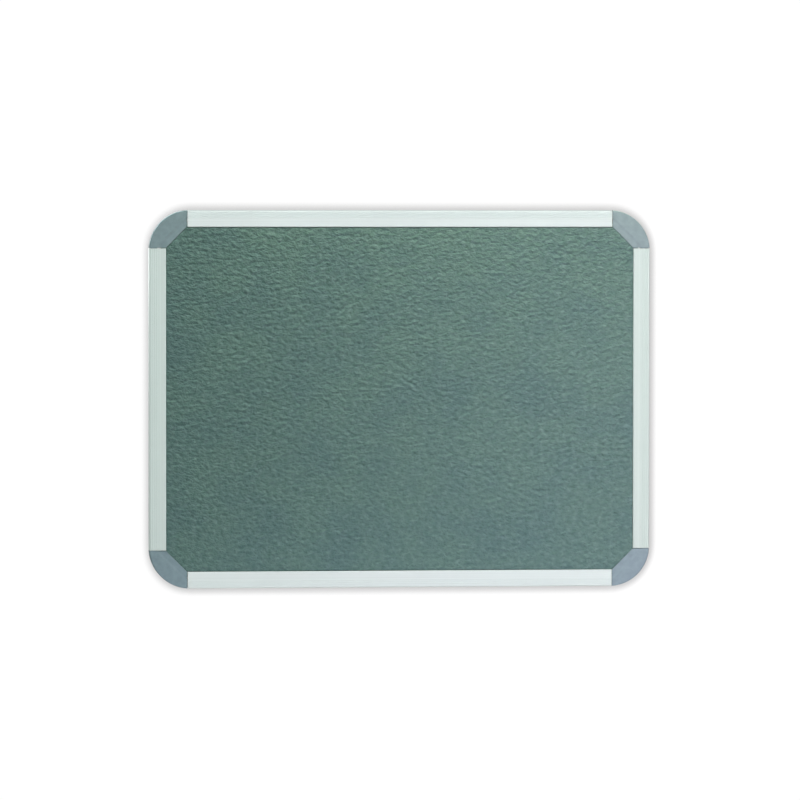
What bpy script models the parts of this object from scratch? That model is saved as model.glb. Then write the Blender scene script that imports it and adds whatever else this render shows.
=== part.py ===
"""A wall-hung felt notice board: a felt-faced softboard panel in an aluminium frame,
with four moulded corner caps whose pull-off covers hide the wall screws.

Everything is modelled with the board lying on its back: x runs to its right, y to its top edge
and z from the wall, at zero, to the front. An empty then stands it up, facing -Y with +Z up.
"""

import math

import bmesh
import bpy
from mathutils import Matrix, Vector

MM = 0.001
ROOT_TWO = math.sqrt(2)

# The whole board
BOARD_WIDTH = 600 * MM
BOARD_HEIGHT = 450 * MM

# Room left between pieces that touch, and how far a cut runs past what it cuts
GAP = 0.3 * MM
OVERRUN = 2 * MM

# The panel's layers, and the room around the panel's edge in the frame
BACKING_THICKNESS = 2.5 * MM
CORE_THICKNESS = 9 * MM
FELT_THICKNESS = 2.5 * MM
PANEL_EDGE_ROOM = 0.6 * MM

# The rails: a closed chamber along the outside and an open channel for the panel inside it
RAIL_FACE = 20 * MM
RAIL_WALL = 1.4 * MM
RAIL_FOOT = 2 * MM
CHAMBER_WIDTH = 8.6 * MM
REAR_LIP = 6.6 * MM
RAIL_OUTER_RADIUS = 1.8 * MM
RAIL_LIP_RADIUS = 1 * MM
RAIL_ARC_STEPS = 6

# The shallow flat between the grooves and the bead along each rail's inner edge
BEAD_WIDTH = 2.4 * MM
FLAT_WIDTH = 7.8 * MM
FLAT_RECESS = 0.15 * MM

# The fine grooves along the outer part of each rail's face
GROOVE_COUNT = 3
GROOVE_INSET = 3.3 * MM
GROOVE_PITCH = 2.4 * MM
GROOVE_WIDTH = 0.8 * MM
GROOVE_DEPTH = 0.35 * MM
GROOVE_FLOOR_SHARE = 0.5

# The corner caps: square with the rails, round outside, cut off at 45 degrees inside; their
# arc's radius is a little more than their size, so they are flatter than a quarter circle
CAP_SIZE = 44.7 * MM
CAP_ARC_EXTRA = 3.3 * MM
CAP_END_GAP = 0.8 * MM
CAP_WALL = 2 * MM
CAP_OVERLAP = 4.4 * MM
CAP_WEB = 2 * MM
CAP_ARC_STEPS = 32
BEVEL_SEGMENTS = 3

# The tongues that reach from a cap into the chambers of its two rails
TONGUE_LENGTH = 30 * MM
TONGUE_ROOT = 1 * MM

# The wall screw's hole through the cap's floor, with a raised seat around it
WALL_HOLE_RADIUS = 2.5 * MM
WALL_SEAT_RADIUS = 5.5 * MM
WALL_SEAT_HEIGHT = 1.5 * MM

# The cover over the wall screw: a flat field, and a lower band along the cut-off edge
COVER_EDGE_RADIUS = 1.1 * MM
BAND_EDGE_RADIUS = 0.5 * MM
BAND_WIDTH = 5.6 * MM
BAND_DROP = 0.5 * MM
BAND_SLOPE_WIDTH = 4 * MM
BAND_SLOPE_STEPS = 6

# The cover's two pegs, the bosses that they press into, and the notch for prising it off
PEG_RADIUS = 1.4 * MM
PEG_LENGTH = 8 * MM
PEG_SPREAD = 15 * MM
PEG_INSET = 5.35 * MM
BOSS_WALL = 1.3 * MM
COIN_NOTCH_WIDTH = 10 * MM
COIN_NOTCH_DEPTH = 1.2 * MM

# The self-tapping screws that hold the rails on the tongues, from behind
SCREW_INSET = 20 * MM
SCREW_HEAD_RADIUS = 2.7 * MM
SCREW_HEAD_HEIGHT = 1.4 * MM
SCREW_HEAD_CROWN = 0.5 * MM
SCREW_CORE_RADIUS = 1.05 * MM
SCREW_CREST_RADIUS = 1.45 * MM
SCREW_LENGTH = 10 * MM
SCREW_POINT = 2 * MM
SCREW_PITCH = 1.6 * MM
SCREW_NECK = 1.8 * MM
SCREW_SIDES = 12
DRIVE_LENGTH = 3 * MM
DRIVE_WIDTH = 0.6 * MM
DRIVE_DEPTH = 0.6 * MM
HOLE_SIDES = 24

# Points this near are one point, sides that turn less than the flat angle, in degrees, are one
# flat side, and those that turn less than the smooth angle are shaded as one round side
WELD_DISTANCE = 0.003 * MM
FLAT_ANGLE = 0.1
SMOOTH_ANGLE = 35

# Heights above the wall that follow from the sizes above
CHANNEL_FLOOR = RAIL_FOOT + RAIL_WALL
BACKING_BOTTOM = CHANNEL_FLOOR + GAP
CORE_BOTTOM = BACKING_BOTTOM + BACKING_THICKNESS + GAP
FELT_BOTTOM = CORE_BOTTOM + CORE_THICKNESS + GAP
FACE_WALL_BACK = FELT_BOTTOM + FELT_THICKNESS + GAP
FRONT = FACE_WALL_BACK + RAIL_WALL
CHAMBER_ROOF = FACE_WALL_BACK - GROOVE_DEPTH

# Distances in from the board's outer edge that follow from them
CHAMBER_MIDDLE = RAIL_WALL + CHAMBER_WIDTH / 2
WEB_INSET = RAIL_WALL + CHAMBER_WIDTH
CHANNEL_INSET = WEB_INSET + RAIL_WALL
PANEL_INSET = CHANNEL_INSET + PANEL_EDGE_ROOM
RAIL_END = CAP_SIZE + CAP_END_GAP
SCREW_PLACE = CAP_SIZE + SCREW_INSET

# Heights and sizes of the caps that follow from them
CAP_ARC_RADIUS = CAP_SIZE + CAP_ARC_EXTRA
COVER_BOTTOM = FACE_WALL_BACK
SEAT_HEIGHT = COVER_BOTTOM - GAP
BOSS_RADIUS = PEG_RADIUS + GAP + BOSS_WALL

# Distances along a cap's diagonal, from the sharp corner that its arc rounds off
CHAMFER_REACH = (CAP_SIZE + RAIL_FACE) / ROOT_TWO
ARC_REACH = (ROOT_TWO - 1) * CAP_ARC_RADIUS
WEB_BACK = CHAMFER_REACH - CAP_OVERLAP
PANEL_CHAMFER = WEB_BACK + PANEL_EDGE_ROOM
POCKET_EDGE = WEB_BACK - CAP_WEB
WALL_HOLE_REACH = (ARC_REACH + CAP_WALL + POCKET_EDGE) / 2
PEG_REACH = POCKET_EDGE - PEG_INSET
BAND_EDGE = CHAMFER_REACH - BAND_WIDTH
FIELD_EDGE = BAND_EDGE - BAND_SLOPE_WIDTH

# Each finish: its colour, how rough it is and whether it is metal
FINISHES = {
    "felt": ((0.125, 0.21, 0.19), 0.95, 0),
    "softboard": ((0.42, 0.33, 0.23), 0.9, 0),
    "hardboard": ((0.2, 0.11, 0.06), 0.6, 0),
    "anodised_aluminium": ((0.78, 0.82, 0.8), 0.35, 1),
    "grey_plastic": ((0.26, 0.34, 0.36), 0.55, 0),
    "zinc_plated_steel": ((0.6, 0.6, 0.58), 0.3, 1),
}

# Where Blender keeps how much each edge is rounded
BEVEL_WEIGHTS = "bevel_weight_edge"

# Each corner's name, with the turn that carries the bottom left one onto it
CORNERS = {"bottom_left": 0, "bottom_right": 90, "top_right": 180, "top_left": 270}


def clear_scene():
    for item in list(bpy.data.objects):
        bpy.data.objects.remove(item, do_unlink=True)


def new_collection(name):
    collection = bpy.data.collections.new(name)
    bpy.context.scene.collection.children.link(collection)
    return collection


def new_material(name, colour, roughness, metallic):
    material = bpy.data.materials.new(name)
    material.use_nodes = True
    shader = material.node_tree.nodes["Principled BSDF"]
    shader.inputs["Base Color"].default_value = (*colour, 1)
    shader.inputs["Roughness"].default_value = roughness
    shader.inputs["Metallic"].default_value = metallic
    material.diffuse_color = (*colour, 1)
    return material


def arc(centre, radius, start, end, steps):
    """Points along an arc, both ends included, with its angles in degrees."""
    angles = (math.radians(start + (end - start) * i / steps) for i in range(steps + 1))
    return [(centre[0] + radius * math.cos(a), centre[1] + radius * math.sin(a)) for a in angles]


def on_diagonal(reach, side):
    """A cap's x and y for a distance along its diagonal and one to the side of it."""
    return ((reach + side) / ROOT_TWO, (reach - side) / ROOT_TWO)


def close_mesh(mesh):
    """Welds a mesh's loose caps, makes its flat sides whole and turns its faces outwards."""
    shape = bmesh.new()
    shape.from_mesh(mesh)
    bmesh.ops.remove_doubles(shape, verts=shape.verts, dist=WELD_DISTANCE)
    flat = math.radians(FLAT_ANGLE)
    bmesh.ops.dissolve_limit(shape, angle_limit=flat, verts=shape.verts, edges=shape.edges)
    bmesh.ops.recalc_face_normals(shape, faces=shape.faces)
    shape.to_mesh(mesh)
    shape.free()


def evaluated_mesh(item):
    graph = bpy.context.evaluated_depsgraph_get()
    return bpy.data.meshes.new_from_object(item.evaluated_get(graph))


def place_mesh(name, mesh):
    item = bpy.data.objects.new(name, mesh)
    bpy.context.scene.collection.objects.link(item)
    return item


def plate(name, rings, low, high):
    """A flat piece with these outlines, from one height to the other."""
    curve = bpy.data.curves.new(name, "CURVE")
    curve.dimensions = "2D"
    curve.fill_mode = "BOTH"
    curve.extrude = (high - low) / 2
    for ring in rings:
        spline = curve.splines.new("POLY")
        spline.points.add(len(ring) - 1)
        spline.use_cyclic_u = True
        for point, (x, y) in zip(spline.points, ring):
            point.co = (x, y, 0, 1)
    outline = place_mesh(name, curve)
    outline.location.z = (low + high) / 2
    bpy.context.view_layer.update()
    mesh = evaluated_mesh(outline)
    mesh.transform(outline.matrix_world)
    close_mesh(mesh)
    bpy.data.objects.remove(outline, do_unlink=True)
    return place_mesh(name, mesh)


def block(name, low, high):
    """A box between two corners."""
    bpy.ops.mesh.primitive_cube_add(size=1)
    item = bpy.context.object
    item.name = name
    size = [b - a for a, b in zip(low, high)]
    middle = [(a + b) / 2 for a, b in zip(low, high)]
    item.data.transform(Matrix.Translation(middle) @ Matrix.Diagonal((*size, 1)))
    return item


def rod(name, radius, start, end, sides):
    """A cylinder from one point to another, with a flat facing along its first axis."""
    line = Vector(end) - Vector(start)
    bpy.ops.mesh.primitive_cylinder_add(vertices=sides, radius=radius, depth=line.length)
    item = bpy.context.object
    item.name = name
    turn = line.to_track_quat("Z", "Y").to_matrix().to_4x4()
    half_step = Matrix.Rotation(math.pi / sides, 4, "Z")
    item.data.transform(Matrix.Translation((Vector(start) + Vector(end)) / 2) @ turn @ half_step)
    return item


def diagonal_block(name, reaches, half_width, heights):
    """A box square to a cap's diagonal, between two reaches and two heights."""
    item = block(name, (reaches[0], -half_width, heights[0]), (reaches[1], half_width, heights[1]))
    item.data.transform(Matrix.Rotation(math.pi / 4, 4, "Z"))
    return item


def combine(item, operation, *tools):
    """Cuts the tools from the item, or joins them to it, and leaves one plain mesh."""
    for tool in tools:
        step = item.modifiers.new(tool.name, "BOOLEAN")
        step.operation = operation
        step.solver = "EXACT"
        step.object = tool
    mesh = evaluated_mesh(item)
    item.modifiers.clear()
    item.data = mesh
    for tool in tools:
        bpy.data.objects.remove(tool, do_unlink=True)


def round_edges(item, width, share):
    """Rounds each edge by the width times the share that its two ends give."""
    places = [vertex.co for vertex in item.data.vertices]
    weights = item.data.attributes.new(BEVEL_WEIGHTS, "FLOAT", "EDGE")
    for edge in item.data.edges:
        weights.data[edge.index].value = share(*[places[i] for i in edge.vertices])
    bevel = item.modifiers.new("rounding", "BEVEL")
    bevel.limit_method = "WEIGHT"
    bevel.width = width
    bevel.segments = BEVEL_SEGMENTS
    bevel.use_clamp_overlap = False
    mesh = evaluated_mesh(item)
    item.modifiers.clear()
    item.data = mesh


def smooth(mesh):
    mesh.shade_smooth()
    mesh.set_sharp_from_angle(angle=math.radians(SMOOTH_ANGLE))


def finish(name, mesh, material, place, collection, stand):
    """Puts a finished piece in the collection, where its matrix says, on the empty."""
    item = bpy.data.objects.new(name, mesh)
    item.matrix_basis = place
    item.parent = stand
    collection.objects.link(item)
    smooth(mesh)
    if not mesh.materials:
        mesh.materials.append(material)
    return item


def take_mesh(item):
    """The mesh of a finished shape, without the object that it was made on."""
    mesh = item.data
    mesh.materials.clear()
    if BEVEL_WEIGHTS in mesh.attributes:
        mesh.attributes.remove(mesh.attributes[BEVEL_WEIGHTS])
    bpy.data.objects.remove(item, do_unlink=True)
    return mesh


def corner_matrix(name):
    """Carries a cap drawn at the bottom left, with its sharp corner at zero, to its corner."""
    top, right = name.startswith("top"), name.endswith("right")
    x = BOARD_WIDTH / 2 if right else -BOARD_WIDTH / 2
    y = BOARD_HEIGHT / 2 if top else -BOARD_HEIGHT / 2
    turn = Matrix.Rotation(math.radians(CORNERS[name]), 4, "Z")
    return Matrix.Translation((x, y, 0)) @ turn


def panel_outline():
    """The panel's rectangle with its corners cut off behind the caps."""
    right = BOARD_WIDTH / 2 - PANEL_INSET
    top = BOARD_HEIGHT / 2 - PANEL_INSET
    cut = ROOT_TWO * PANEL_CHAMFER - 2 * PANEL_INSET
    return [
        (right - cut, -top),
        (right, -top + cut),
        (right, top - cut),
        (right - cut, top),
        (-right + cut, top),
        (-right, top - cut),
        (-right, -top + cut),
        (-right + cut, -top),
    ]


def panel_layer(name, bottom, thickness):
    return take_mesh(plate(name, [panel_outline()], bottom, bottom + thickness))


def groove(inset):
    """One groove's outline across a rail's face, from its inner side to its outer side."""
    half = GROOVE_WIDTH / 2
    floor = half * GROOVE_FLOOR_SHARE
    return [
        (inset + half, FRONT),
        (inset + floor, FRONT - GROOVE_DEPTH),
        (inset - floor, FRONT - GROOVE_DEPTH),
        (inset - half, FRONT),
    ]


def recessed_flat():
    """The shallow flat's outline across a rail's face, from the bead to the grooved part."""
    inner = RAIL_FACE - BEAD_WIDTH
    outer = inner - FLAT_WIDTH
    floor = FRONT - FLAT_RECESS
    return [
        (inner, FRONT),
        (inner - FLAT_RECESS, floor),
        (outer + FLAT_RECESS, floor),
        (outer, FRONT),
    ]


def rail_section():
    """The extrusion's outline and its chamber: x is in from the board's edge, y is height."""
    lip = (RAIL_FACE - RAIL_LIP_RADIUS, FRONT - RAIL_LIP_RADIUS)
    shoulder = (RAIL_OUTER_RADIUS, FRONT - RAIL_OUTER_RADIUS)
    outline = [
        (0, 0),
        (RAIL_WALL, 0),
        (RAIL_WALL, RAIL_FOOT),
        (CHANNEL_INSET + REAR_LIP, RAIL_FOOT),
        (CHANNEL_INSET + REAR_LIP, CHANNEL_FLOOR),
        (CHANNEL_INSET, CHANNEL_FLOOR),
        (CHANNEL_INSET, FACE_WALL_BACK),
        (RAIL_FACE, FACE_WALL_BACK),
    ]
    outline += arc(lip, RAIL_LIP_RADIUS, 0, 90, RAIL_ARC_STEPS)
    outline += recessed_flat()
    for i in reversed(range(GROOVE_COUNT)):
        outline += groove(GROOVE_INSET + GROOVE_PITCH * i)
    outline += arc(shoulder, RAIL_OUTER_RADIUS, 90, 180, RAIL_ARC_STEPS)
    chamber = [
        (RAIL_WALL, CHANNEL_FLOOR),
        (WEB_INSET, CHANNEL_FLOOR),
        (WEB_INSET, CHAMBER_ROOF),
        (RAIL_WALL, CHAMBER_ROOF),
    ]
    return [outline, chamber]


def rail(name, span):
    """A rail along x, its outer edge at y zero, for a side of the board of this length."""
    half = span / 2 - RAIL_END
    body = plate(name, rail_section(), -half, half)
    across = Matrix(((0, 0, 1), (1, 0, 0), (0, 1, 0))).to_4x4()
    body.data.transform(across)
    hole = span / 2 - SCREW_PLACE
    radius = SCREW_CREST_RADIUS + GAP
    drills = []
    for x in (-hole, hole):
        ends = (x, CHAMBER_MIDDLE, -OVERRUN), (x, CHAMBER_MIDDLE, FELT_BOTTOM)
        drills.append(rod(f"{name}_drill", radius, *ends, HOLE_SIDES))
    combine(body, "DIFFERENCE", *drills)
    return take_mesh(body)


def cap_arc(inset):
    """A cap's outer arc moved in by this much, as far as the cap's ends moved in alike."""
    radius = CAP_ARC_RADIUS - inset
    rest = math.degrees(math.asin((CAP_ARC_EXTRA + inset) / radius))
    middle = (CAP_ARC_RADIUS, CAP_ARC_RADIUS)
    return arc(middle, radius, 180 + rest, 270 - rest, CAP_ARC_STEPS)


def cap_outline():
    """A cap's footprint: its arc, its two ends and its chamfer."""
    return cap_arc(0) + [(CAP_SIZE, RAIL_FACE), (RAIL_FACE, CAP_SIZE)]


def pocket_outline():
    """The hollow for the wall screw, inside the cap's walls and its web."""
    inner = CAP_SIZE - CAP_WALL
    side = ROOT_TWO * POCKET_EDGE - inner
    return cap_arc(CAP_WALL) + [(inner, side), (side, inner)]


def peg_places():
    return [on_diagonal(PEG_REACH, side) for side in (-PEG_SPREAD, PEG_SPREAD)]


def tongue(turned):
    """A bar from a cap's end wall into the chamber of one rail, with its screw's hole."""
    near, far = RAIL_WALL + GAP, WEB_INSET - GAP
    low = (CAP_SIZE - TONGUE_ROOT, near, BACKING_BOTTOM)
    high = (CAP_SIZE + TONGUE_LENGTH, far, CHAMBER_ROOF - GAP)
    bar = block("tongue", low, high)
    tip = RAIL_FOOT + SCREW_LENGTH
    radius = SCREW_CREST_RADIUS + GAP
    start, end = (SCREW_PLACE, CHAMBER_MIDDLE, 0), (SCREW_PLACE, CHAMBER_MIDDLE, tip)
    combine(bar, "DIFFERENCE", rod("tongue_drill", radius, start, end, HOLE_SIDES))
    if turned:
        swap = Matrix(((0, 1, 0), (1, 0, 0), (0, 0, 1))).to_4x4()
        bar.data.transform(swap)
        bar.data.flip_normals()
    return bar


def corner_base():
    """The fixed part of a cap, in one moulding with its two tongues."""
    body = plate("corner_base", [cap_outline()], 0, SEAT_HEIGHT)
    top = SEAT_HEIGHT + OVERRUN
    wide = 2 * CAP_SIZE
    combine(
        body,
        "DIFFERENCE",
        plate("pocket", [pocket_outline()], CHANNEL_FLOOR, top),
        diagonal_block("panel_slot", (WEB_BACK, wide), wide, (CHANNEL_FLOOR, top)),
    )
    hole = on_diagonal(WALL_HOLE_REACH, 0)
    seat_top = CHANNEL_FLOOR + WALL_SEAT_HEIGHT
    seat = rod("wall_seat", WALL_SEAT_RADIUS, (*hole, RAIL_FOOT), (*hole, seat_top), HOLE_SIDES)
    bosses = [
        rod("boss", BOSS_RADIUS, (*peg, RAIL_FOOT), (*peg, SEAT_HEIGHT), HOLE_SIDES)
        for peg in peg_places()
    ]
    combine(body, "UNION", tongue(False), tongue(True), seat, *bosses)
    depth = COVER_BOTTOM - PEG_LENGTH - GAP
    sockets = [
        rod("socket", PEG_RADIUS + GAP, (*peg, depth), (*peg, top), HOLE_SIDES)
        for peg in peg_places()
    ]
    combine(
        body,
        "DIFFERENCE",
        *sockets,
        rod("wall_hole", WALL_HOLE_RADIUS, (*hole, -OVERRUN), (*hole, FRONT), HOLE_SIDES),
        diagonal_block(
            "coin_notch",
            (ARC_REACH - OVERRUN, ARC_REACH + CAP_WALL / 2),
            COIN_NOTCH_WIDTH / 2,
            (SEAT_HEIGHT - COIN_NOTCH_DEPTH, top),
        ),
    )
    return take_mesh(body)


def band_step():
    """What is cut from the cover's top: the band, and the soft slope from the field to it."""
    end, above = CHAMFER_REACH + OVERRUN, FRONT + OVERRUN
    outline = [(FIELD_EDGE, above)]
    for i in range(BAND_SLOPE_STEPS + 1):
        share = i / BAND_SLOPE_STEPS
        drop = BAND_DROP * (1 - math.cos(math.pi * share)) / 2
        outline.append((FIELD_EDGE + BAND_SLOPE_WIDTH * share, FRONT - drop))
    outline += [(end, FRONT - BAND_DROP), (end, above)]
    step = plate("band_step", [outline], -CAP_SIZE, CAP_SIZE)
    # x goes along the diagonal, y to height and z across the diagonal
    along, side = Vector((*on_diagonal(1, 0), 0)), Vector((*on_diagonal(0, 1), 0))
    step.data.transform(Matrix((along, (0, 0, 1), side)).transposed().to_4x4())
    return step


def cover_rounding(a, b):
    """How much of the cover's full rounding the edge between two points gets."""
    low = min(a.z, b.z)
    middle = Vector((CAP_ARC_RADIUS, CAP_ARC_RADIUS))
    from_middle = min((a.xy - middle).length, (b.xy - middle).length)
    if low > FRONT - GAP and from_middle > CAP_ARC_RADIUS - GAP:
        return 1
    reach = min(a.x + a.y, b.x + b.y) / ROOT_TWO
    if low > FRONT - BAND_DROP - GAP and reach > CHAMFER_REACH - GAP:
        return BAND_EDGE_RADIUS / COVER_EDGE_RADIUS
    return 0


def corner_cover():
    """The pull-off cover: a plate with two pegs, its origin between them on its underside."""
    body = plate("corner_cover", [cap_outline()], COVER_BOTTOM, FRONT)
    combine(body, "DIFFERENCE", band_step())
    round_edges(body, COVER_EDGE_RADIUS, cover_rounding)
    root, tip = COVER_BOTTOM + RAIL_WALL / 2, COVER_BOTTOM - PEG_LENGTH
    pegs = [rod("peg", PEG_RADIUS, (*peg, tip), (*peg, root), HOLE_SIDES) for peg in peg_places()]
    combine(body, "UNION", *pegs)
    body.data.transform(Matrix.Translation(-cover_point()))
    return take_mesh(body)


def cover_point():
    """Where the cover's origin lies in the frame that the cap is drawn in."""
    return Vector((*on_diagonal(PEG_REACH, 0), COVER_BOTTOM))


def screw_profile():
    """Half of a screw's outline from its point down to its head, as (radius, height)."""
    tip = SCREW_LENGTH
    points = [(0, tip), (SCREW_CORE_RADIUS, tip - SCREW_POINT)]
    threads = int((SCREW_LENGTH - SCREW_POINT - SCREW_NECK) / SCREW_PITCH)
    for i in range(threads):
        crest = tip - SCREW_POINT - SCREW_PITCH * i - SCREW_PITCH / 2
        points.append((SCREW_CREST_RADIUS, crest))
        points.append((SCREW_CORE_RADIUS, crest - SCREW_PITCH / 2))
    edge = -SCREW_HEAD_HEIGHT + SCREW_HEAD_CROWN
    return points + [
        (SCREW_CORE_RADIUS, 0),
        (SCREW_HEAD_RADIUS, 0),
        (SCREW_HEAD_RADIUS, edge),
        (SCREW_HEAD_RADIUS - SCREW_HEAD_CROWN, -SCREW_HEAD_HEIGHT),
        (0, -SCREW_HEAD_HEIGHT),
    ]


def rail_screw():
    """A self-tapping screw, its head's seat at zero and its point up."""
    mesh = bpy.data.meshes.new("rail_screw")
    points = screw_profile()
    edges = [(i, i + 1) for i in range(len(points) - 1)]
    mesh.from_pydata([(r, 0, z) for r, z in points], edges, [])
    body = place_mesh("rail_screw", mesh)
    turn = body.modifiers.new("turned", "SCREW")
    turn.steps = turn.render_steps = SCREW_SIDES
    turn.use_merge_vertices = True
    turn.merge_threshold = WELD_DISTANCE
    body.data = evaluated_mesh(body)
    body.modifiers.clear()
    close_mesh(body.data)
    low, high = -SCREW_HEAD_HEIGHT - OVERRUN, -SCREW_HEAD_HEIGHT + DRIVE_DEPTH
    long, thin = DRIVE_LENGTH / 2, DRIVE_WIDTH / 2
    combine(
        body,
        "DIFFERENCE",
        block("drive", (-long, -thin, low), (long, thin, high)),
        block("drive", (-thin, -long, low), (thin, long, high)),
    )
    return take_mesh(body)


def add_panel(add):
    """The panel's three layers, from the wall to the front."""
    layers = {
        "backing_board": (BACKING_BOTTOM, BACKING_THICKNESS, "hardboard"),
        "softboard_core": (CORE_BOTTOM, CORE_THICKNESS, "softboard"),
        "felt_facing": (FELT_BOTTOM, FELT_THICKNESS, "felt"),
    }
    for name, (bottom, thickness, material) in layers.items():
        add(name, panel_layer(name, bottom, thickness), material, Matrix())


def add_rails(add):
    """The four rails, each with a screw near both ends."""
    sides = {
        "bottom": (0, BOARD_WIDTH, BOARD_HEIGHT, ("left", "right")),
        "right": (90, BOARD_HEIGHT, BOARD_WIDTH, ("bottom", "top")),
        "top": (180, BOARD_WIDTH, BOARD_HEIGHT, ("right", "left")),
        "left": (270, BOARD_HEIGHT, BOARD_WIDTH, ("top", "bottom")),
    }
    screw = rail_screw()
    for side, (angle, span, across, ends) in sides.items():
        turn = Matrix.Rotation(math.radians(angle), 4, "Z")
        place = turn @ Matrix.Translation((0, -across / 2, 0))
        add(f"rail_{side}", rail(f"rail_{side}", span), "anodised_aluminium", place)
        hole = span / 2 - SCREW_PLACE
        for end, x in zip(ends, (-hole, hole)):
            seat = Matrix.Translation((x, CHAMBER_MIDDLE, RAIL_FOOT - GAP))
            add(f"rail_screw_{side}_{end}", screw, "zinc_plated_steel", place @ seat)


def add_corners(add):
    """The four caps and their covers."""
    base = corner_base()
    cover = corner_cover()
    seat = Matrix.Translation(cover_point())
    for corner in CORNERS:
        place = corner_matrix(corner)
        add(f"corner_base_{corner}", base, "grey_plastic", place)
        add(f"corner_cover_{corner}", cover, "grey_plastic", place @ seat)


def main():
    clear_scene()
    board = new_collection("info_board")
    stand = bpy.data.objects.new("stand_up", None)
    stand.rotation_euler.x = math.pi / 2
    board.objects.link(stand)
    materials = {name: new_material(name, *looks) for name, looks in FINISHES.items()}

    def add(name, mesh, material, place):
        finish(name, mesh, materials[material], place, board, stand)

    add_panel(add)
    add_rails(add)
    add_corners(add)


main()
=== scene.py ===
"""The looks of the felt notice board: its felt, its drawn aluminium rails and its moulded caps."""

import math

import bpy
from mathutils import Euler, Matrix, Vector


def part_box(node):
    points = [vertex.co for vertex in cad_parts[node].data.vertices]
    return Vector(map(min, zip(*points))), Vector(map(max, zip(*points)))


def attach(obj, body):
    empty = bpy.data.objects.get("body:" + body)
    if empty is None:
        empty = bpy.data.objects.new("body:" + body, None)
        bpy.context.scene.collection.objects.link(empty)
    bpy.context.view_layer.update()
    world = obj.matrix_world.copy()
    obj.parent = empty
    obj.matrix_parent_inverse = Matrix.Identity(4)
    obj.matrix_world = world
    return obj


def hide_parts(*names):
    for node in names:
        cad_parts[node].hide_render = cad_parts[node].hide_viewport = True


MM = 0.001

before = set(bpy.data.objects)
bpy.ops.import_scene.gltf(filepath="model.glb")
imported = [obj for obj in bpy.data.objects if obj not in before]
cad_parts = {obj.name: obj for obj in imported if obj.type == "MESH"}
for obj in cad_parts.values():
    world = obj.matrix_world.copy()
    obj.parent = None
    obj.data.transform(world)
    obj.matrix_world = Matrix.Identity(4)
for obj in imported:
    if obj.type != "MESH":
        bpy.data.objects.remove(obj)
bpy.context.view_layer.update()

# How finely the felt is meshed, and the room that it leaves under the CAD felt's face
FELT_COLUMNS = 344
FELT_ROWS = 254
FELT_TOP_ROOM = 0.05 * MM

# A point of the CAD felt that is this near its top or bottom edge counts as on it
FELT_EDGE_ROOM = 0.1 * MM

# The lumps on its face, and the share of their height that is left under the rails and caps
FELT_LUMP_SIZE = 4.3 * MM
FELT_LUMP_HEIGHT = 1.2 * MM
FELT_LIP_SHARE = 0.15

# How the felt rises from under the rails and caps: how far, over what width and how steeply at first,
# how far inside the opening its mesh is cut, so that the rise has edges to bend at, and up to what
# bend it is shaded smooth
FELT_SWELL = 1.1 * MM
FELT_PINCH = 1.8 * MM
FELT_BULGE = 0.25
FELT_TUCKS = (0, 0.15 * MM, 0.6 * MM)
FELT_SMOOTH_ANGLE = math.radians(60)

# Its flecks of colour, the tufts that its needles raise, and its slow clouds of tone.
# Fibres and tufts lie mostly along the board, so their pattern is drawn out that way.
FELT_FLECK = 4.88 * MM
FELT_TUFT = 4.44 * MM
FELT_TUFT_DEPTH = 3.8 * MM
FELT_CLOUD = 50 * MM
FELT_LIE = (0.76, 1.0, 1.1)

# The other surfaces' patterns: their widths and depths, and the share of its width that a die line
# keeps lengthwise in the pattern, which draws it out along the rail
DIE_LINE = 0.588 * MM
DIE_LINE_DEPTH = 0.1 * MM
DIE_LINE_SQUEEZE = 0.0008
ANODISED_HAZE = 111 * MM
ABS_GRAIN = 1.613 * MM
ABS_GRAIN_DEPTH = 0.25 * MM
ABS_MOTTLE = 6.67 * MM
SOFTBOARD_FLECK = 2.5 * MM
SOFTBOARD_FLECK_DEPTH = 0.4 * MM
SCREEN_WIRE = 2 * MM
SCREEN_WIRE_DEPTH = 0.3 * MM
HARDBOARD_FIBRE = 4.17 * MM
HARDBOARD_STAIN = 83 * MM
ZINC_PATCH = 1.11 * MM

# The radians that a wave texture turns in a metre for each unit of its scale
WAVE_TURN = 20

# The photograph's viewpoint: its place in metres, its turn in radians, its lens and sensor in
# millimetres, and how many metres it sees
VIEW_PLACE = (-0.7475, -7.0, 0.239)
VIEW_TURN = (math.pi / 2 - 0.03421, -0.00076, -0.10656)
VIEW_LENS = 265.0
VIEW_SENSOR = 36
VIEW_REACH = 100

# The room's light from all sides, and how bright the room is in what mirrors it
AMBIENT = 0.06
MIRRORED_ROOM = 0.72

# How far the wall and floor reach, how far behind and below the board they lie, and the floor's own glow
STAGE_REACH = 30
WALL_GAP = 1 * MM
FLOOR_DROP = 1.1
FLOOR_GLOW = 0.72

# The wall's painted shade: an ambient occlusion mask darkens the wall's glow near the board, not a shadow
# that the lamps cast. How near the board it starts, the way the mask is tilted so that one side shades
# more, how bright the wall looks where this much of the mask is open, and the share that lamps give
WALL_SHADE_REACH = 12.5 * MM
WALL_SHADE_TILT = (-0.35, -1.0, 0.1)
WALL_SHADES = ((0.50, 0.54), (0.75, 0.77), (0.97, 1.02))
WALL_LIT_SHARE = 0.02
WALL_SHADE_SAMPLES = 16

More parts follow.
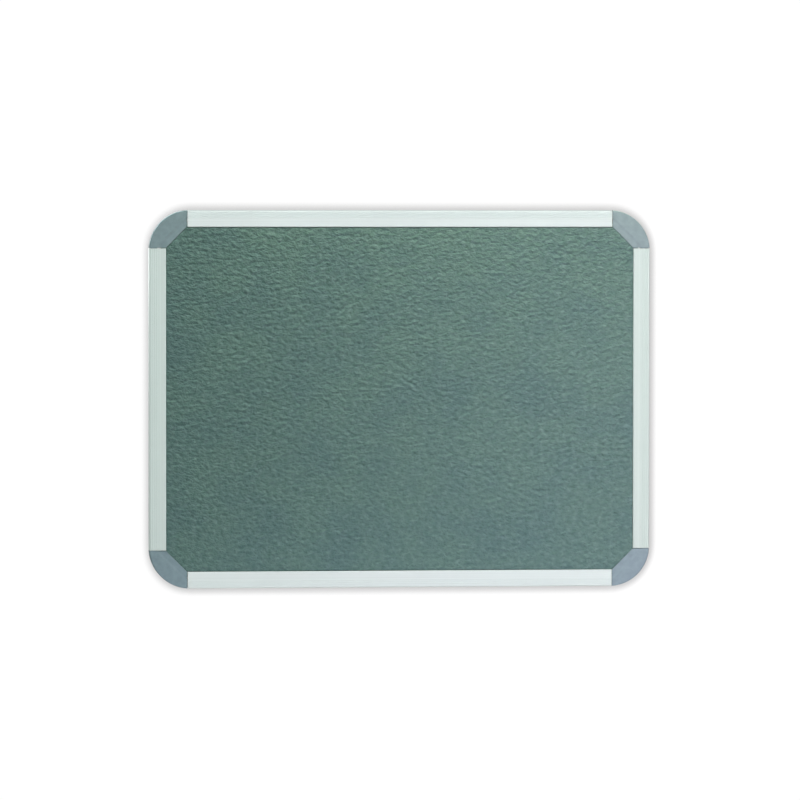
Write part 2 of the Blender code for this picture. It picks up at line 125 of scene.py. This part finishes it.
# The lamps: name, place, what it faces, width, depth, power, what it shows in, and tint
WHITE = (1, 1, 1)
MIDDLE = (0, 0, 0)
LAMPS = (
    ("key_top", (-0.6, -1.0, 3.0), MIDDLE, 1.2, 1.2, 122, "matt", WHITE),
    ("side_right", (0.36, -0.52, 0), (0.24, 0, 0), 0.35, 0.6, 2.5, "matt", (1.0, 0.74, 0.93)),
    ("above", (0.14, -0.12, 0.42), (0.14, 0, 0.15), 0.7, 0.05, 0.9, "matt", (1.0, 0.87, 0.5)),
    ("below", (0.05, -0.12, -0.42), (0.05, 0, -0.15), 0.75, 0.05, 0.65, "matt", (0.8, 0.74, 1.0)),
    ("side_card", (1.3, -1.9, -0.05), MIDDLE, 0.8, 1.2, 6, "mirrored", WHITE),
    ("top_card", (0.8, -4.5, 2.4), MIDDLE, 2.2, 2.2, 36, "mirrored", WHITE),
    ("low_card", (0.3, -1.3, -0.95), (0.1, 0, -0.2), 0.7, 0.7, 1.45, "mirrored", (0.9, 0.62, 1.0)),
    ("left_card", (-1.5, -2.5, 0), MIDDLE, 1.0, 1.0, 1.7, "mirrored", (0.3, 1.0, 0.55)),
    ("back_fill", (-1.0, 2.5, 1.0), MIDDLE, 2.0, 2.0, 30, "all", WHITE),
)


def linear(code):
    """An sRGB hex colour as linear red, green and blue with full alpha."""
    parts = [int(code[i : i + 2], 16) / 255 for i in (0, 2, 4)]
    light = [p / 12.92 if p <= 0.04045 else ((p + 0.055) / 1.055) ** 2.4 for p in parts]
    return (*light, 1)


def grey(value):
    """A linear grey with full alpha."""
    return (value, value, value, 1)


def start_material(name):
    """A new material with its node tree, its shader and its output."""
    material = bpy.data.materials.new(name)
    material.use_nodes = True
    tree = material.node_tree
    return material, tree, tree.nodes["Principled BSDF"], tree.nodes["Material Output"]


def add(tree, kind, links=None, stops=(), **settings):
    """Adds a node with these settings; links gives its inputs values or other nodes' outputs.

    Stops are a colour ramp's own, each a position and a colour.
    """
    node = tree.nodes.new(kind)
    for key, value in settings.items():
        setattr(node, key, value)
    for key, value in (links or {}).items():
        if isinstance(value, bpy.types.NodeSocket):
            tree.links.new(value, node.inputs[key])
        else:
            node.inputs[key].default_value = value
    if stops:
        points = node.color_ramp.elements
        while len(points) < len(stops):
            points.new(0.5)
        for point, (place, colour) in zip(points, stops):
            point.position = place
            point.color = colour
    return node


def needle_punched_felt():
    """Polyester fibres punched into a mat: no thread shows, only soft tufts and flecks.

    The fibres are hundredths of a millimetre thick, so only the tufts that they make are drawn,
    4 to 5 mm wide with their edges down to 1 mm.
    """
    material, tree, shader, _ = start_material("needle_punched_polyester_felt")
    place = add(tree, "ShaderNodeTexCoord").outputs["Object"]
    lie = add(tree, "ShaderNodeMapping", {"Vector": place, "Scale": FELT_LIE}).outputs["Vector"]
    flecks = add(
        tree,
        "ShaderNodeTexNoise",
        {"Vector": lie, "Scale": 1 / FELT_FLECK, "Detail": 2.0, "Roughness": 0.5, "Distortion": 0.3},
    )
    tufts = add(
        tree,
        "ShaderNodeTexNoise",
        {"Vector": lie, "Scale": 1 / FELT_TUFT, "Detail": 2.5, "Roughness": 0.55, "Distortion": 0.1},
    )
    clouds = add(
        tree,
        "ShaderNodeTexNoise",
        {"Vector": place, "Scale": 1 / FELT_CLOUD, "Detail": 2.0, "Roughness": 0.5},
    )
    body = add(
        tree,
        "ShaderNodeValToRGB",
        {"Fac": flecks.outputs["Fac"]},
        stops=((0.30, linear("53736A")), (0.54, linear("5D7D74")), (0.78, linear("698981"))),
    )
    cool = add(
        tree,
        "ShaderNodeValToRGB",
        {"Fac": clouds.outputs["Fac"]},
        stops=((0.38, linear("FEFFFD")), (0.68, linear("F3F5FA"))),
    )
    tinted = add(
        tree,
        "ShaderNodeMix",
        {"Factor": 1.0, "A": body.outputs["Color"], "B": cool.outputs["Color"]},
        data_type="RGBA",
        blend_type="MULTIPLY",
    )
    tree.links.new(tinted.outputs["Result"], shader.inputs["Base Color"])
    relief = add(
        tree,
        "ShaderNodeBump",
        {"Height": tufts.outputs["Fac"], "Strength": 1.0, "Distance": FELT_TUFT_DEPTH},
    )
    tree.links.new(relief.outputs["Normal"], shader.inputs["Normal"])
    shader.inputs["Roughness"].default_value = 1.0
    shader.inputs["Specular IOR Level"].default_value = 0.2
    shader.inputs["Sheen Weight"].default_value = 0.15
    shader.inputs["Sheen Roughness"].default_value = 0.5
    return material


def drawn_aluminium(name, along_x):
    """Extruded and satin anodised aluminium: pale, even, with faint die lines along its length.

    The die lines are hundredths of a millimetre apart and are drawn about 0.6 mm apart.
    """
    material, tree, shader, _ = start_material(name)
    place = add(tree, "ShaderNodeTexCoord").outputs["Object"]
    squeeze = (DIE_LINE_SQUEEZE, 1, 1) if along_x else (1, 1, DIE_LINE_SQUEEZE)
    drawn = add(tree, "ShaderNodeMapping", {"Vector": place, "Scale": squeeze}).outputs["Vector"]
    lines = add(tree, "ShaderNodeTexNoise", {"Vector": drawn, "Scale": 1 / DIE_LINE, "Detail": 2.0})
    haze = add(tree, "ShaderNodeTexNoise", {"Vector": place, "Scale": 1 / ANODISED_HAZE, "Detail": 1.0})
    tone = add(
        tree,
        "ShaderNodeValToRGB",
        {"Fac": lines.outputs["Fac"]},
        stops=((0.35, linear("E2EDEA")), (0.65, linear("E8F3F0"))),
    )
    tree.links.new(tone.outputs["Color"], shader.inputs["Base Color"])
    dull = add(
        tree, "ShaderNodeMapRange", {"Value": haze.outputs["Fac"], "To Min": 0.42, "To Max": 0.5}
    )
    tree.links.new(dull.outputs["Result"], shader.inputs["Roughness"])
    strength = 0.35 if along_x else 0.12
    relief = add(
        tree,
        "ShaderNodeBump",
        {"Height": lines.outputs["Fac"], "Strength": strength, "Distance": DIE_LINE_DEPTH},
    )
    tree.links.new(relief.outputs["Normal"], shader.inputs["Normal"])
    # what the lines mirror is drawn out across them
    across = add(tree, "ShaderNodeTangent", direction_type="RADIAL", axis="X" if along_x else "Z")
    tree.links.new(across.outputs["Tangent"], shader.inputs["Tangent"])
    shader.inputs["Anisotropic"].default_value = 0.6
    shader.inputs["Metallic"].default_value = 1.0
    return material


def moulded_abs():
    """Injection-moulded grey ABS with an eroded grain: matt, with a soft broad sheen.

    The grain is a tenth of a millimetre wide and is drawn about 1.6 mm wide.
    """
    material, tree, shader, _ = start_material("moulded_grey_abs")
    place = add(tree, "ShaderNodeTexCoord").outputs["Object"]
    grain = add(
        tree,
        "ShaderNodeTexNoise",
        {"Vector": place, "Scale": 1 / ABS_GRAIN, "Detail": 2.0, "Roughness": 0.6},
    )
    mottle = add(tree, "ShaderNodeTexNoise", {"Vector": place, "Scale": 1 / ABS_MOTTLE, "Detail": 3.0})
    tone = add(
        tree,
        "ShaderNodeValToRGB",
        {"Fac": mottle.outputs["Fac"]},
        stops=((0.35, linear("728B8E")), (0.68, linear("7B9598"))),
    )
    tree.links.new(tone.outputs["Color"], shader.inputs["Base Color"])
    relief = add(
        tree,
        "ShaderNodeBump",
        {"Height": grain.outputs["Fac"], "Strength": 0.25, "Distance": ABS_GRAIN_DEPTH},
    )
    tree.links.new(relief.outputs["Normal"], shader.inputs["Normal"])
    shader.inputs["Roughness"].default_value = 0.55
    shader.inputs["IOR"].default_value = 1.53
    return material


def pressed_softboard():
    """Wood fibre pressed soft: dry, pale brown and flecked."""
    material, tree, shader, _ = start_material("pressed_fibre_softboard")
    place = add(tree, "ShaderNodeTexCoord").outputs["Object"]
    flecks = add(
        tree,
        "ShaderNodeTexNoise",
        {"Vector": place, "Scale": 1 / SOFTBOARD_FLECK, "Detail": 4.0, "Roughness": 0.7},
    )
    tone = add(
        tree,
        "ShaderNodeValToRGB",
        {"Fac": flecks.outputs["Fac"]},
        stops=((0.3, linear("9C8261")), (0.7, linear("C2AA86"))),
    )
    tree.links.new(tone.outputs["Color"], shader.inputs["Base Color"])
    relief = add(
        tree,
        "ShaderNodeBump",
        {"Height": flecks.outputs["Fac"], "Strength": 0.5, "Distance": SOFTBOARD_FLECK_DEPTH},
    )
    tree.links.new(relief.outputs["Normal"], shader.inputs["Normal"])
    shader.inputs["Roughness"].default_value = 0.95
    return material


def screen_back_hardboard():
    """Hardboard pressed on a wire screen: brown, its back marked with a fine square mesh."""
    material, tree, shader, _ = start_material("screen_back_hardboard")
    place = add(tree, "ShaderNodeTexCoord").outputs["Object"]
    # one whole turn a wire
    wire_scale = math.tau / WAVE_TURN / SCREEN_WIRE
    wires = {}
    for slot, way in enumerate(("X", "Z")):
        links = {"Vector": place, "Scale": wire_scale, "Distortion": 0.6, "Detail": 1.0}
        wires[slot] = add(tree, "ShaderNodeTexWave", links, bands_direction=way).outputs["Fac"]
    mesh = add(tree, "ShaderNodeMath", wires, operation="MULTIPLY").outputs["Value"]
    fibre = add(
        tree,
        "ShaderNodeTexNoise",
        {"Vector": place, "Scale": 1 / HARDBOARD_FIBRE, "Detail": 4.0, "Roughness": 0.65},
    )
    stain = add(tree, "ShaderNodeTexNoise", {"Vector": place, "Scale": 1 / HARDBOARD_STAIN, "Detail": 3.0})
    both = add(
        tree, "ShaderNodeMath", {0: fibre.outputs["Fac"], 1: stain.outputs["Fac"]}, operation="MULTIPLY"
    )
    tone = add(
        tree,
        "ShaderNodeValToRGB",
        {"Fac": both.outputs["Value"]},
        stops=((0.12, linear("684A30")), (0.42, linear("8F6C4B"))),
    )
    dark = add(
        tree, "ShaderNodeValToRGB", {"Fac": mesh}, stops=((0.1, linear("FFFFFF")), (0.9, linear("D2C6BA")))
    )
    mixed = add(
        tree,
        "ShaderNodeMix",
        {"Factor": 1.0, "A": tone.outputs["Color"], "B": dark.outputs["Color"]},
        data_type="RGBA",
        blend_type="MULTIPLY",
    )
    tree.links.new(mixed.outputs["Result"], shader.inputs["Base Color"])
    relief = add(
        tree,
        "ShaderNodeBump",
        {"Height": mesh, "Strength": 0.6, "Distance": SCREEN_WIRE_DEPTH},
        invert=True,
    )
    tree.links.new(relief.outputs["Normal"], shader.inputs["Normal"])
    shader.inputs["Roughness"].default_value = 0.8
    return material


def zinc_plate():
    """Bright zinc plating on steel: pale blue-white metal with a few dull patches."""
    material, tree, shader, _ = start_material("zinc_plated_steel")
    place = add(tree, "ShaderNodeTexCoord").outputs["Object"]
    patches = add(tree, "ShaderNodeTexNoise", {"Vector": place, "Scale": 1 / ZINC_PATCH, "Detail": 3.0})
    tone = add(
        tree,
        "ShaderNodeValToRGB",
        {"Fac": patches.outputs["Fac"]},
        stops=((0.35, linear("B4B8BC")), (0.7, linear("CED1D0"))),
    )
    tree.links.new(tone.outputs["Color"], shader.inputs["Base Color"])
    dull = add(
        tree, "ShaderNodeMapRange", {"Value": patches.outputs["Fac"], "To Min": 0.22, "To Max": 0.42}
    )
    tree.links.new(dull.outputs["Result"], shader.inputs["Roughness"])
    shader.inputs["Metallic"].default_value = 1.0
    return material


def wall_with_painted_shade():
    """White wall paint, seen only from the room's side, so that the board's back can be seen too.

    Close to the board a painted shade darkens its glow. An ambient occlusion mask draws it, as if in a
    bright room where light comes from everywhere, and the lamps cast almost none of it.
    """
    material, tree, shader, output = start_material("white_wall_paint_with_painted_shade")
    shader.inputs["Base Color"].default_value = grey(WALL_LIT_SHARE)
    shader.inputs["Roughness"].default_value = 1.0
    shader.inputs["Specular IOR Level"].default_value = 0.0
    # painted shade: the wall's glow is darkened near the board by an ambient occlusion mask, tilted so
    # that one side shades more
    way = add(tree, "ShaderNodeVectorMath", {0: WALL_SHADE_TILT}, operation="NORMALIZE")
    painted_shade_mask = add(
        tree,
        "ShaderNodeAmbientOcclusion",
        {"Distance": WALL_SHADE_REACH, "Normal": way.outputs["Vector"]},
        samples=WALL_SHADE_SAMPLES,
    )
    shade = add(
        tree,
        "ShaderNodeValToRGB",
        {"Fac": painted_shade_mask.outputs["AO"]},
        stops=[(openness, grey(look - WALL_LIT_SHARE)) for openness, look in WALL_SHADES],
    )
    # the painted shade becomes the colour of the wall's glow
    tree.links.new(shade.outputs["Color"], shader.inputs["Emission Color"])
    shader.inputs["Emission Strength"].default_value = 1.0
    path = add(tree, "ShaderNodeLightPath").outputs["Is Camera Ray"]
    behind = add(tree, "ShaderNodeNewGeometry").outputs["Backfacing"]
    front = add(tree, "ShaderNodeMath", {0: 1.0, 1: behind}, operation="SUBTRACT").outputs["Value"]
    seen = add(tree, "ShaderNodeMath", {0: path, 1: front}, operation="MULTIPLY").outputs["Value"]
    clear = add(tree, "ShaderNodeBsdfTransparent").outputs["BSDF"]
    mix = add(tree, "ShaderNodeMixShader", {"Fac": seen, 1: clear, 2: shader.outputs["BSDF"]})
    tree.links.new(mix.outputs["Shader"], output.inputs["Surface"])
    return material


def pale_floor():
    """Pale matt floor paint, which glows for the eye alone, so that it looks pale in every view."""
    material, tree, shader, _ = start_material("pale_floor_paint")
    shader.inputs["Base Color"].default_value = linear("F2F2F2")
    shader.inputs["Roughness"].default_value = 0.9
    shader.inputs["Emission Color"].default_value = grey(FLOOR_GLOW)
    path = add(tree, "ShaderNodeLightPath")
    tree.links.new(path.outputs["Is Camera Ray"], shader.inputs["Emission Strength"])
    return material


def deselect_all():
    bpy.ops.object.select_all(action="DESELECT")


def dress(node, material):
    """Gives a CAD piece its material."""
    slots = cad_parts[node].data.materials
    slots.clear()
    slots.append(material)


def cut(way, reach, remove=False):
    """Cuts the active mesh across a direction, at this distance from the middle of the board."""
    way = Vector(way).normalized()
    bpy.ops.object.mode_set(mode="EDIT")
    bpy.ops.mesh.select_all(action="SELECT")
    bpy.ops.mesh.bisect(plane_co=way * reach, plane_no=way, clear_outer=remove)
    bpy.ops.object.mode_set(mode="OBJECT")


def raise_lumps(felt):
    """Raises and lowers the felt's face by soft lumps, as much as its nap group lets it."""
    texture = bpy.data.textures.new("needle_lumps", "CLOUDS")
    texture.noise_scale = FELT_LUMP_SIZE
    texture.noise_depth = 1
    push = felt.modifiers.new("needle_lumps", "DISPLACE")
    push.texture = texture
    push.texture_coords = "LOCAL"
    push.direction = "Y"
    push.mid_level = 0.5
    push.strength = -FELT_LUMP_HEIGHT
    push.vertex_group = "nap"
    bpy.ops.object.modifier_apply(modifier=push.name)


def felt_facing():
    """The stretched felt: a flat mat with lumps on its face, cut off at the corners."""
    low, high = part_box("felt_facing")
    deselect_all()
    bpy.ops.mesh.primitive_grid_add(
        x_subdivisions=FELT_COLUMNS,
        y_subdivisions=FELT_ROWS,
        size=1,
        location=(0, low.y + FELT_TOP_ROOM, 0),
        rotation=(math.pi / 2, 0, 0),
    )
    felt = bpy.context.object
    felt.name = felt.data.name = "felt_mat"
    felt.scale = (high.x - low.x, high.z - low.z, 1)
    bpy.ops.object.transform_apply(location=True, rotation=True, scale=True)
    # the corners are cut where the CAD felt's own are
    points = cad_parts["felt_facing"].data.vertices
    top_reach = max(abs(point.co.x) for point in points if high.z - abs(point.co.z) < FELT_EDGE_ROOM)
    for sx in (-1, 1):
        for sz in (-1, 1):
            cut((sx, 0, sz), (top_reach + high.z) / math.sqrt(2), remove=True)
    # the rails and caps press the felt flat under their edges, and it swells in the opening
    opening_x = -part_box("rail_left")[1].x
    opening_z = -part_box("rail_bottom")[1].z
    cut_off = (opening_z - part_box("corner_cover_bottom_left")[1].x) / math.sqrt(2)
    for inset in FELT_TUCKS:
        for sign in (-1, 1):
            cut((sign, 0, 0), opening_x - inset)
            cut((0, 0, sign), opening_z - inset)
            cut((sign, 0, 1), cut_off - inset)
            cut((sign, 0, -1), cut_off - inset)
    nap = felt.vertex_groups.new(name="nap")
    for vertex in felt.data.vertices:
        x, z = abs(vertex.co.x), abs(vertex.co.z)
        inset = min(opening_x - x, opening_z - z, cut_off - (x + z) / math.sqrt(2))
        free = min(max(inset / FELT_PINCH, 0), 1)
        nap.add([vertex.index], FELT_LIP_SHARE + (1 - FELT_LIP_SHARE) * free, "REPLACE")
        vertex.co.y -= FELT_SWELL * free**FELT_BULGE
    raise_lumps(felt)
    # its edge turns back to the softboard, and its back is flat
    bpy.ops.object.mode_set(mode="EDIT")
    bpy.ops.mesh.select_all(action="SELECT")
    bpy.ops.mesh.region_to_loop()
    turn_back = (0, high.y - low.y - FELT_TOP_ROOM, 0)
    bpy.ops.mesh.extrude_region_move(TRANSFORM_OT_translate={"value": turn_back})
    bpy.ops.transform.resize(value=(1, 0, 1), center_override=(0, high.y, 0))
    bpy.ops.mesh.edge_face_add()
    bpy.ops.mesh.select_all(action="SELECT")
    bpy.ops.mesh.normals_make_consistent(inside=False)
    bpy.ops.object.mode_set(mode="OBJECT")
    felt.vertex_groups.clear()
    bpy.ops.object.shade_smooth_by_angle(angle=FELT_SMOOTH_ANGLE)
    felt.data.materials.append(needle_punched_felt())
    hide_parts("felt_facing")
    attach(felt, "board")


def dress_pieces():
    """Gives every other piece the material that it is made of."""
    along = drawn_aluminium("satin_anodised_aluminium_across", True)
    upright = drawn_aluminium("satin_anodised_aluminium_upright", False)
    plastic = moulded_abs()
    zinc = zinc_plate()
    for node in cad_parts:
        if node in ("rail_top", "rail_bottom"):
            dress(node, along)
        elif node in ("rail_left", "rail_right"):
            dress(node, upright)
        elif node.startswith("corner_"):
            dress(node, plastic)
        elif node.startswith("rail_screw"):
            dress(node, zinc)
    dress("softboard_core", pressed_softboard())
    dress("backing_board", screen_back_hardboard())


def stage_plane(name, place, turn, material):
    """A wide plane that stands behind or below the board and isn't part of it."""
    deselect_all()
    bpy.ops.mesh.primitive_plane_add(size=STAGE_REACH, location=place, rotation=turn)
    plane = bpy.context.object
    plane.name = name
    plane.data.materials.append(material)


def hang_lamp(name, place, target, width, depth, power, lights, tint):
    """A soft lamp that faces a point; it shows in all, or only in what is matt or what mirrors."""
    lamp = bpy.data.lights.new(name, "AREA")
    lamp.shape = "RECTANGLE"
    lamp.size = width
    lamp.size_y = depth
    lamp.energy = power
    lamp.color = tint
    item = bpy.data.objects.new(name, lamp)
    bpy.context.scene.collection.objects.link(item)
    item.location = place
    item.visible_glossy = lights != "matt"
    item.visible_diffuse = lights != "mirrored"
    item.rotation_euler = (Vector(target) - Vector(place)).to_track_quat("-Z", "Y").to_euler()


def room():
    """White for the eye, bright in what mirrors it, and dim as a light on the board."""
    world = bpy.data.worlds.new("studio")
    bpy.context.scene.world = world
    world.use_nodes = True
    tree = world.node_tree
    background = tree.nodes["Background"]
    background.inputs["Color"].default_value = grey(1)
    path = add(tree, "ShaderNodeLightPath")
    span = {"Value": path.outputs["Is Glossy Ray"], "To Min": AMBIENT, "To Max": MIRRORED_ROOM}
    mirrored = add(tree, "ShaderNodeMapRange", span).outputs["Result"]
    both = {0: mirrored, 1: path.outputs["Is Camera Ray"]}
    strength = add(tree, "ShaderNodeMath", both, operation="MAXIMUM").outputs["Value"]
    tree.links.new(strength, background.inputs["Strength"])


def studio():
    """The wall that the board hangs on, the floor, the lamps and the room around them."""
    stage_plane("wall", (0, WALL_GAP, 0), (math.pi / 2, 0, 0), wall_with_painted_shade())
    stage_plane("floor", (0, 0, -FLOOR_DROP), (0, 0, 0), pale_floor())
    for lamp in LAMPS:
        hang_lamp(*lamp)
    room()


def viewpoint():
    """The camera, where the photograph was taken from."""
    camera = bpy.data.cameras.new("viewpoint")
    camera.lens = VIEW_LENS
    camera.sensor_width = VIEW_SENSOR
    camera.clip_end = VIEW_REACH
    item = bpy.data.objects.new("viewpoint", camera)
    bpy.context.scene.collection.objects.link(item)
    item.location = VIEW_PLACE
    item.rotation_euler = Euler(VIEW_TURN)
    bpy.context.scene.camera = item


felt_facing()
dress_pieces()
studio()
viewpoint()
bpy.context.scene.view_settings.view_transform = "Standard"
